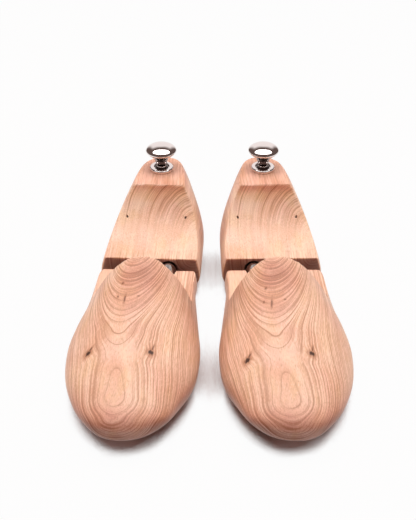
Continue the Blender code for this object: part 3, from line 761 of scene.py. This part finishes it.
def putKnots(tree, board, spot, plan, layer):
    # the dark core and the rim of every knot, and the layers raised round the large ones
    knot = knotSettings
    raisedReach, raisedHeight = knot["raised"]
    coreStart, coreFull = knot["core"]
    rimStart, rimFull, outside, inside = knot["rim"]
    least, bySize = knot["darkest"]
    ragged = putNoise(tree, putStretch(tree, spot, *noiseSettings["ragged"]), 1.0, 2.0)
    ragged = putMath(tree, "SUBTRACT", ragged.outputs["Fac"], 0.5)
    ragged = putMath(tree, "MULTIPLY", ragged, knot["ragged"])
    dark = rim = None
    for x, y, size, length, lean in board["knots"]:
        away = putNode(tree, "ShaderNodeMapping", {
            "Vector": plan, "Location": (x, y, 0), "Rotation": (0, 0, math.radians(lean)),
            "Scale": (length, 1, 1)}, vector_type="TEXTURE").outputs[0]
        away = putLength(tree, away)
        if size > knot["large"]:
            raised = putRange(tree, away, raisedReach * size, 0.0, 0.0, raisedHeight * size)
            layer = putMath(tree, "ADD", layer, raised)
        away = putMath(tree, "ADD", away, putMath(tree, "MULTIPLY", ragged, size))
        darkest = min(1.0, least + bySize * size)
        core = putRange(tree, away, coreStart * size, coreFull * size, 0.0, darkest)
        edge = putRange(tree, away, rimStart * size, rimFull * size, outside, inside)
        dark = core if dark is None else putMath(tree, "MAXIMUM", dark, core)
        rim = edge if rim is None else putMath(tree, "MAXIMUM", rim, edge)
    return layer, dark, rim


def putFigured(tree, board, plan):
    # one where the figure is full, less over the board's plain patch
    x, y, reachAcross, reachAlong, left = board["plain"]
    offset = putNode(tree, "ShaderNodeVectorMath", {0: plan, 1: (x, y, 0)},
                     operation="SUBTRACT").outputs[0]
    offset = putStretch(tree, offset, 1 / reachAcross, 1 / reachAlong, 0)
    return putRange(tree, putLength(tree, offset), *shareSettings["bare"], left, 1.0)


def putLines(tree, board, layer, steep):
    # one dark line to a layer, as wide on the surface however steeply the cut meets it
    shares = shareSettings
    width = putRange(tree, steep, *shares["lineWidth"], smooth=False)
    count = putMath(tree, "DIVIDE", layer, board["spacing"])
    count = putMath(tree, "ADD", count, board["phase"])
    inLayer = putMath(tree, "SUBTRACT", 1.0, putMath(tree, "FRACT", count))
    inLine = putMath(tree, "DIVIDE", inLayer, width)
    line = putRamp(tree, inLine, [(place, value, value, value) for place, value in lineShape])
    which = putMath(tree, "ADD", putMath(tree, "FLOOR", count), board["seed"])
    year = putNode(tree, "ShaderNodeTexWhiteNoise", {"W": which}, noise_dimensions="1D")
    year = putRange(tree, year.outputs["Value"], *shares["yearStrength"], smooth=False)
    return line, year


def makeWood(name, settings, board):
    finish, shares, noises = woodFinish, shareSettings, noiseSettings
    made, tree, shader = newMaterial(name)
    coords = putNode(tree, "ShaderNodeTexCoord")
    turned = putNode(tree, "ShaderNodeMapping", {
        "Vector": coords.outputs["Object"], "Location": settings["figurePlace"],
        "Rotation": (0, 0, math.radians(settings["figureTurn"]))}, vector_type="TEXTURE")
    spot = putStretch(tree, turned.outputs[0], 1000, 1000, 1000)    # millimetres from here on
    across, along, up = putNode(tree, "ShaderNodeSeparateXYZ", {0: spot}).outputs
    plan = putNode(tree, "ShaderNodeCombineXYZ", {0: across, 1: along}).outputs[0]

    layer, layerWay = putLayers(tree, settings, board, spot)
    layer, dark, rim = putKnots(tree, board, spot, plan, layer)
    facing = coords.outputs["Normal"]
    steep = putNode(tree, "ShaderNodeVectorMath", {0: facing, 1: layerWay},
                    operation="CROSS_PRODUCT").outputs[0]
    steep = putLength(tree, steep)
    figured = putFigured(tree, board, plan)
    line, year = putLines(tree, board, layer, steep)

    # streaks follow the layers, and make their lines stronger and weaker
    stretchAcross, stretchAlong = noises["streak"]
    laid = putNode(tree, "ShaderNodeCombineXYZ", {
        0: putMath(tree, "MULTIPLY", across, stretchAcross),
        1: putMath(tree, "MULTIPLY", along, stretchAlong),
        2: putMath(tree, "MULTIPLY", layer, board["grain"])}).outputs[0]
    streak = putNoise(tree, laid, 1.0, 5.0, 0.62).outputs["Fac"]
    strength = putNoise(tree, putStretch(tree, laid, 1.0, 1.0, 0.9), 2.3, 1.0).outputs["Fac"]
    strength = putRange(tree, strength, *shares["lineStrength"])
    line = putMath(tree, "MULTIPLY", line, putMath(tree, "MULTIPLY", strength, year))
    line = putMath(tree, "MULTIPLY", line, figured)

    # the ground: pale and warm patches, with a yellower or pinker cast
    patch = putNoise(tree, putStretch(tree, spot, *noises["patch"]), 1.0, 3.0).outputs["Fac"]
    cast = putNoise(tree, putStretch(tree, spot, *noises["cast"]), 1.0, 2.0).outputs["Fac"]
    colour = putMix(tree, putRange(tree, patch, *shares["warm"]), finish["pale"], finish["warm"])
    colour = putMix(tree, putRange(tree, cast, *shares["honey"]), colour, finish["honey"])
    colour = putMix(tree, putRange(tree, cast, *shares["rose"]), colour, finish["rose"])

    # streaks fade where the cut runs along the layers
    bold = putRange(tree, steep, *shares["bold"], 0.2 * board["streaks"], board["streaks"])
    bold = putMath(tree, "MULTIPLY", bold, putRange(tree, figured, 0.0, 1.0, 0.3, 1.0))
    share = putMath(tree, "MULTIPLY", putRange(tree, streak, *shares["darkStreak"]), bold)
    colour = putMix(tree, share, colour, finish["streak"])
    share = putMath(tree, "MULTIPLY", putRange(tree, streak, *shares["lightStreak"]), bold)
    colour = putMix(tree, share, colour, finish["light"])
    fibre = putNoise(tree, putStretch(tree, spot, *noises["fibre"]), 1.0, 4.0, 0.65).outputs["Fac"]
    colour = putMix(tree, putRange(tree, fibre, *shares["darkFibre"]), colour, finish["streak"])
    colour = putMix(tree, putRange(tree, fibre, *shares["lightFibre"]), colour, finish["light"])

    # where the cut crosses the fibres the wood drinks more oil and darkens in streaks; the end
    # grain tint after it also holds painted shade
    fibreWay = Vector((0.0, 1.0, board["fibreRise"])).normalized()
    crossed = putNode(tree, "ShaderNodeVectorMath", {0: facing, 1: fibreWay},
                      operation="DOT_PRODUCT").outputs["Value"]
    crossed = putMath(tree, "ABSOLUTE", crossed)
    soaked = putMath(tree, "MULTIPLY", putRange(tree, streak, *shares["soaked"]),
                     putRange(tree, crossed, *shares["crossed"]))
    colour = putMix(tree, soaked, colour, finish["line"])
    flat, sloping, ends = board["contrast"]
    contrast = putMath(tree, "ADD", putRange(tree, crossed, *shares["sloping"], flat, sloping),
                       putRange(tree, crossed, *shares["ends"], 0.0, ends - sloping))
    colour = putMix(tree, putMath(tree, "MULTIPLY", line, contrast), colour, finish["line"])
    # painted shade, partly real end grain: faces turned along the tree, such as the toe's front and
    # the heel block's front face, are tinted darker
    colour = putMix(tree, 1.0, colour, putRamp(tree, crossed, board["endGrainAndShade"]), "MULTIPLY")
    # painted shade: the heel block's plateau and upper back are tinted darker and warmer
    if "shade" in board:
        fromPlace, toPlace, fromHeight, toHeight, tint = board["shade"]
        paintedShadeShare = putMath(tree, "MULTIPLY", putRange(tree, along, fromPlace, toPlace),
                         putRange(tree, up, fromHeight, toHeight))
        colour = putMix(tree, paintedShadeShare, colour, tint, "MULTIPLY")
    if board["knots"]:
        colour = putMix(tree, rim, colour, finish["line"])
        colour = putMix(tree, dark, colour, finish["knot"])

    tree.links.new(colour, shader.inputs["Base Color"])
    shader.inputs["Roughness"].default_value = finish["roughness"]
    shader.inputs["Specular IOR Level"].default_value = finish["specular"]
    putBump(tree, shader, fibre, *finish["bump"])
    return made


# painted shade: a dark, rough finish for the deep bore walls, where light hardly reaches
boreShadeSettings = {
    "dark": (0.035, 0.02, 0.014, 1.0), "brown": (0.11, 0.055, 0.035, 1.0),
    "stretch": (1500, 400, 1500), "roughness": 0.9, "bump": (0.4, 0.0004),
}


def makeBoreShadeFinish(name):
    scorch = boreShadeSettings
    made, tree, shader = newMaterial(name)
    coords = putNode(tree, "ShaderNodeTexCoord").outputs["Object"]
    rough = putNoise(tree, putStretch(tree, coords, *scorch["stretch"]), 1.0, 3.0).outputs["Fac"]
    colour = putMix(tree, rough, scorch["dark"], scorch["brown"])
    tree.links.new(colour, shader.inputs["Base Color"])
    shader.inputs["Roughness"].default_value = scorch["roughness"]
    putBump(tree, shader, rough, *scorch["bump"])
    return made


# Colour, roughness, and how fine the drawing or turning marks are each way, to a mm
metalSettings = {
    "polished_nickel": ((0.88, 0.81, 0.79), 0.035, (0.4, 0.4, 6.0)),
    # a dark copy of the nickel, as painted shade on the knob's foot
    "knob_seat_nickel": ((0.12, 0.095, 0.085), 0.2, (0.4, 0.4, 6.0)),
    "drawn_tube_steel": ((0.66, 0.63, 0.61), 0.16, (1.2, 0.1, 1.2)),
    "spring_wire_steel": ((0.38, 0.38, 0.4), 0.35, (2.0, 2.0, 2.0)),
    "blackened_steel": ((0.16, 0.11, 0.09), 0.45, (3.0, 3.0, 3.0)),
}


def makeMetal(name):
    # a handled metal: smudges dull it and marks of its making run over it
    colour, roughness, marks = metalSettings[name]
    made, tree, shader = newMaterial(name)
    coords = putNode(tree, "ShaderNodeTexCoord").outputs["Object"]
    spot = putStretch(tree, coords, 1000, 1000, 1000)
    smudge = putNoise(tree, spot, 0.25, 3.0).outputs["Fac"]
    scratch = putNoise(tree, putStretch(tree, spot, *marks), 1.0, 3.0).outputs["Fac"]
    level = putMath(tree, "MULTIPLY", smudge, roughness)
    level = putMath(tree, "ADD", level, 0.5 * roughness)
    tree.links.new(level, shader.inputs["Roughness"])
    smudged = putMix(tree, smudge, (*colour, 1.0), (*(0.9 * part for part in colour), 1.0))
    tree.links.new(smudged, shader.inputs["Base Color"])
    shader.inputs["Metallic"].default_value = 1.0
    putBump(tree, shader, scratch, 0.04, 0.0001)
    return made


def dress(piece, finish):
    if piece.data.materials:
        for slot in piece.material_slots:
            slot.material = finish
    else:
        piece.data.materials.append(finish)


def paintBoreShade(piece, settings, finish, low, high):
    # painted shade on drilled walls: the faces that look at a bore's middle line are made dark
    piece.data.materials.append(finish)
    back = treeMatrix(settings).inverted()
    reach = boreSettings["flare"] + 2 * tubeSettings["edge"]
    for face in piece.data.polygons:
        spot, way = back @ face.center, back.to_3x3() @ face.normal
        for word, x in tubePlaces(settings):
            aside = Vector((spot.x - x, 0.0, spot.z - tubeSettings["height"]))
            inward = way.dot(aside) < -0.3 * aside.length
            if low < spot.y < high and aside.length < reach and inward:
                face.material_index = 1


# painted shade: the knob's foot, down inside the rosette, gets a dark copy of the nickel
def paintFootShade(piece, finish):
    piece.data.materials.append(finish)
    for face in piece.data.polygons:
        if face.center.z < knobSettings["base"] + knobSettings["darkBelow"]:
            face.material_index = 1


boreShadeFinish = makeBoreShadeFinish("scorched_bore")
nickel = makeMetal("polished_nickel")
shadedNickelPaint = makeMetal("knob_seat_nickel")
tubeSteel = makeMetal("drawn_tube_steel")
springSteel = makeMetal("spring_wire_steel")
blackSteel = makeMetal("blackened_steel")

knobModel, rosetteModel = makeKnob(), makeRosette()
tubeModel, springModel = makeTube(), makeSpring()
print("knob, rosette, tube and spring made")

for label, settings in treeSettings.items():
    toeWood = makeWood(f"{label}_forepart_alder", settings, boardSettings["forepart"])
    heelWood = makeWood(f"{label}_heel_alder", settings, boardSettings["heel"])
    piece = makeForepart(label, settings)
    dress(piece, toeWood)
    paintBoreShade(piece, settings, boreShadeFinish, boreSettings["darkFrom"], lastSettings["shelfEnd"])
    print(label, "forepart shaped")
    piece = makeHeelBlock(label, settings)
    dress(piece, heelWood)
    start = lastSettings["heelFace"] + tubeSettings["edge"]
    paintBoreShade(piece, settings, boreShadeFinish, start, boreSettings["darkTo"])
    print(label, "heel block shaped")
    piece = setKnob(label, settings, knobModel)
    dress(piece, nickel)
    paintFootShade(piece, shadedNickelPaint)
    dress(setRosette(label, settings, rosetteModel), nickel)
    for piece in setTubes(label, settings, tubeModel):
        dress(piece, tubeSteel)
    for piece in setSprings(label, settings, springModel):
        dress(piece, springSteel)
    for word in ("medial", "lateral"):
        dress(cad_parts[f"{label}_{word}_guide_rod"], blackSteel)
        dress(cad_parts[f"{label}_{word}_tube_plug"], heelWood)
        dress(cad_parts[f"{label}_{word}_brad"], blackSteel)
    dress(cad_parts[f"{label}_knob_stud"], blackSteel)
    print(label, "tree finished")
for model in (knobModel, rosetteModel, tubeModel, springModel):
    bpy.data.objects.remove(model, do_unlink=True)

camera = bpy.data.objects.new("camera", bpy.data.cameras.new("camera"))
bpy.context.scene.collection.objects.link(camera)
camera.location = cameraSettings["place"]
camera.rotation_euler = (math.radians(90 - cameraSettings["downTilt"]), 0, 0)
camera.data.lens = cameraSettings["lens"]
camera.data.clip_start = cameraSettings["clipStart"]
bpy.context.scene.camera = camera

# A plain pale sheet, white to the camera but for the shadow close to the wood, which is painted in
# part: there the sheet's real shading shows in a darker warm tint
floorSettings = {
    "size": 4.0, "place": (0, 0, -0.0002),
    "paintedShadowTint": (0.52, 0.36, 0.33, 1.0), "bounce": (0.52, 0.52, 0.52, 1.0),
    "near": 0.021, "open": (0.43, 0.53, 0.0, 0.97),
}
clearSelection()
bpy.ops.mesh.primitive_plane_add(size=floorSettings["size"], location=floorSettings["place"])
floor = bpy.context.object
floor.name = "floor"
floorFinish, floorTree, floorShader = newMaterial("pale_floor")
floorTree.nodes.remove(floorShader)
rays = putNode(floorTree, "ShaderNodeLightPath")
seen = putMath(floorTree, "MAXIMUM", rays.outputs["Is Camera Ray"], rays.outputs["Is Glossy Ray"])
seen = putMath(floorTree, "MAXIMUM", seen, rays.outputs["Is Transmission Ray"])
tone = putMix(floorTree, seen, floorSettings["bounce"], floorSettings["paintedShadowTint"])
sheet = putNode(floorTree, "ShaderNodeBsdfDiffuse", {"Color": tone})
white = putNode(floorTree, "ShaderNodeEmission", {"Color": (1, 1, 1, 1), "Strength": 1.0})
# painted shadow in part: ambient occlusion finds the floor close to the wood, and only there does
# the camera see the sheet's shading
openness = putNode(floorTree, "ShaderNodeAmbientOcclusion", {"Distance": floorSettings["near"]},
                   samples=16).outputs["AO"]
openness = putRange(floorTree, openness, *floorSettings["open"])
clear = putMath(floorTree, "MULTIPLY", openness, seen)
mixed = putNode(floorTree, "ShaderNodeMixShader", {
    0: clear, 1: sheet.outputs[0], 2: white.outputs[0]})
ending = floorTree.nodes["Material Output"]
floorTree.links.new(mixed.outputs[0], ending.inputs["Surface"])
floor.data.materials.append(floorFinish)

# One large round soft box overhead in a dim room, and a small dim one at each side that metal
# doesn't mirror. Metal sees a pale sweep behind the trees, and dark warm walls and ceiling
lightSettings = {
    "room": (0.07, 0.07, 0.07, 1.0),
    "sweep": (1.0, 0.95, 0.94, 1.0), "walls": (0.13, 0.09, 0.08, 1.0),
    "box": {"place": (0.0, 0.09, 1.1), "size": (1.75, 0.92), "power": 16.1},
    "side": {"place": (1.18, -0.05, 0.38), "size": (0.5, 0.5), "power": 4.5},
    # where the sweep ends: upwards, to the sides, and towards the camera
    "sweepTop": (0.82, 0.56), "sweepSides": (0.6, 0.3), "sweepFront": (-0.5, 0.1),
}
world = bpy.data.worlds.new("studio")
bpy.context.scene.world = world
world.use_nodes = True
sky = world.node_tree
sky.nodes.clear()
direction = putNode(sky, "ShaderNodeTexCoord").outputs["Generated"]
east, north, height = putNode(sky, "ShaderNodeSeparateXYZ", {0: direction}).outputs
beside = putRange(sky, putMath(sky, "ABSOLUTE", east), *lightSettings["sweepSides"])
pale = putMath(sky, "MULTIPLY", putRange(sky, height, *lightSettings["sweepTop"]), beside)
pale = putMath(sky, "MULTIPLY", pale, putRange(sky, north, *lightSettings["sweepFront"]))
mirrored = putMix(sky, pale, lightSettings["walls"], lightSettings["sweep"])
rays = putNode(sky, "ShaderNodeLightPath")
glossy = putMath(sky, "MAXIMUM", rays.outputs["Is Glossy Ray"], rays.outputs["Is Transmission Ray"])
tone = putMix(sky, glossy, lightSettings["room"], mirrored)
tone = putMix(sky, rays.outputs["Is Camera Ray"], tone, (1, 1, 1, 1))
background = putNode(sky, "ShaderNodeBackground", {"Color": tone, "Strength": 1.0})
ending = putNode(sky, "ShaderNodeOutputWorld")
sky.links.new(background.outputs[0], ending.inputs["Surface"])


def hangLamp(name, place, settings):
    made = bpy.data.lights.new(name, "AREA")
    made.shape = "ELLIPSE"
    made.size, made.size_y = settings["size"]
    made.energy = settings["power"]
    lamp = bpy.data.objects.new(name, made)
    lamp.location = place
    bpy.context.scene.collection.objects.link(lamp)
    return lamp


hangLamp("overhead", lightSettings["box"]["place"], lightSettings["box"])
for name, side in (("left_side", -1), ("right_side", 1)):
    x, y, z = lightSettings["side"]["place"]
    lamp = hangLamp(name, (side * x, y, z), lightSettings["side"])
    lamp.rotation_euler = (-lamp.location).to_track_quat("-Z", "Y").to_euler()
    lamp.visible_glossy = False
print("camera, floor and light set")

bpy.context.scene.view_settings.view_transform = "Standard"
